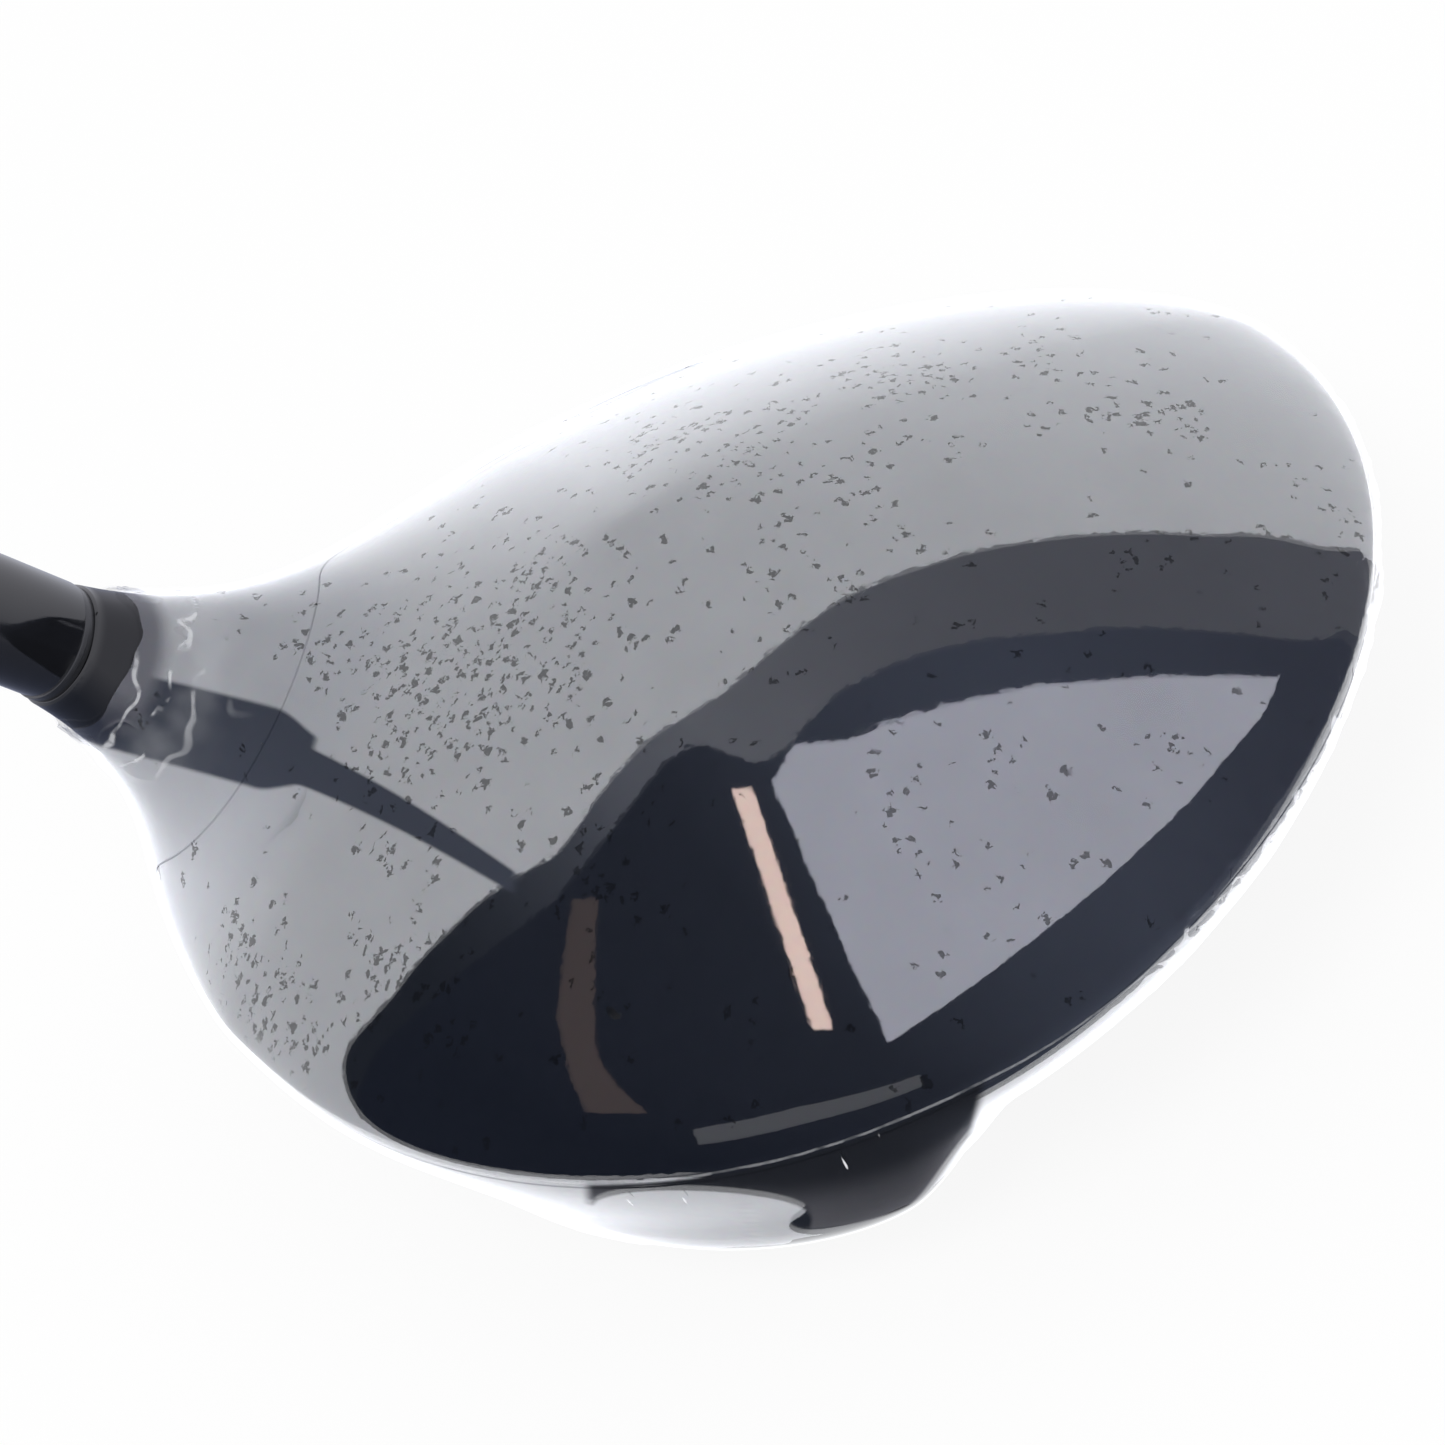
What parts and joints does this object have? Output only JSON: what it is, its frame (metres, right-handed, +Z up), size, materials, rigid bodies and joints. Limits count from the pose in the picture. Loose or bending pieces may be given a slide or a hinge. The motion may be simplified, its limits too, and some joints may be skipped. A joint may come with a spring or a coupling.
{
  "type": "golf driver",
  "caption": "Golf driver: hollow head with a gloss crown, an adjustable hosel sleeve, a screw-in rear weight, a tapered shaft and a rubber grip.",
  "frame": {"origin": "point of the ground under the middle of the head, on the sole's flat pad", "axes": "+X from heel to toe, +Y from the rear edge towards the face (the target), +Z up, with the club soled at its lie angle so the shaft leans along -X"},
  "size_m": [0.6793, 0.1142, 1.0043],
  "materials": {
    "titanium_dark": "satin",
    "face_metal": "satin",
    "crown_gloss": "gloss",
    "carbon_gloss": "gloss",
    "slot_rubber": "matte",
    "hosel_metal": "satin",
    "port_metal": "satin",
    "clear_film": "gloss",
    "ring_dark": "satin",
    "sleeve_metal": "satin",
    "ferrule_black": "gloss",
    "shaft_black": "gloss",
    "brass_plug": "satin",
    "tape_paper": "matte",
    "grip_rubber": "matte",
    "cap_rubber": "matte",
    "washer_steel": "satin",
    "bolt_steel": "satin",
    "weight_steel": "satin",
    "screw_steel": "polished"
  },
  "bodies": {
    "head": {"body_casting": "titanium_dark", "face_plate": "face_metal", "crown_shell": "crown_gloss", "sole_panel_toe": "carbon_gloss", "sole_panel_heel": "carbon_gloss", "sole_slot_insert": "slot_rubber", "hosel_tube": "hosel_metal", "rear_weight_port": "port_metal", "protective_film": "clear_film"},
    "ring": {"index_ring": "ring_dark"},
    "shaft_assembly": {"adapter_sleeve": "sleeve_metal", "ferrule": "ferrule_black", "shaft": "shaft_black", "shaft_tip_plug": "brass_plug", "grip_tape": "tape_paper", "grip": "grip_rubber", "grip_end_cap": "cap_rubber"},
    "washer": {"bolt_washer": "washer_steel"},
    "bolt": {"hosel_bolt": "bolt_steel"},
    "weight": {"rear_weight": "weight_steel"},
    "weight_screw": {"rear_weight_screw": "screw_steel"}
  },
  "joints": [
    {"name": "shaft_withdraw", "type": "slide", "parent": "head", "child": "ring", "axis": [-0.515, 0, 0.8572], "range_m": [0, 0.04]},
    {"name": "loft_index", "type": "hinge", "parent": "ring", "child": "shaft_assembly", "pos_m": [-0.05491, 0.0291, 0.05743], "axis": [-0.515, 0, 0.8572], "continuous": true},
    {"name": "bolt_travel", "type": "slide", "parent": "head", "child": "washer", "axis": [0.515, 0, -0.8572], "range_m": [0, 0.008]},
    {"name": "bolt_turn", "type": "hinge", "parent": "washer", "child": "bolt", "pos_m": [-0.02761, 0.0291, 0.012], "axis": [0.515, 0, -0.8572], "range_deg": [0, 3600]},
    {"name": "weight_travel", "type": "slide", "parent": "head", "child": "weight", "axis": [0.0065, -0.1441, -0.9895], "range_m": [0, 0.01]},
    {"name": "weight_screw_turn", "type": "hinge", "parent": "weight", "child": "weight_screw", "pos_m": [-0.01953, -0.03559, 0.00696], "axis": [0.0065, -0.1441, -0.9895], "range_deg": [0, 4500]}
  ],
  "couplings": [
    {"joint": "bolt_turn", "follows": "bolt_travel", "rad_per_m": 7853.9},
    {"joint": "weight_screw_turn", "follows": "weight_travel", "rad_per_m": 7853.9}
  ]
}
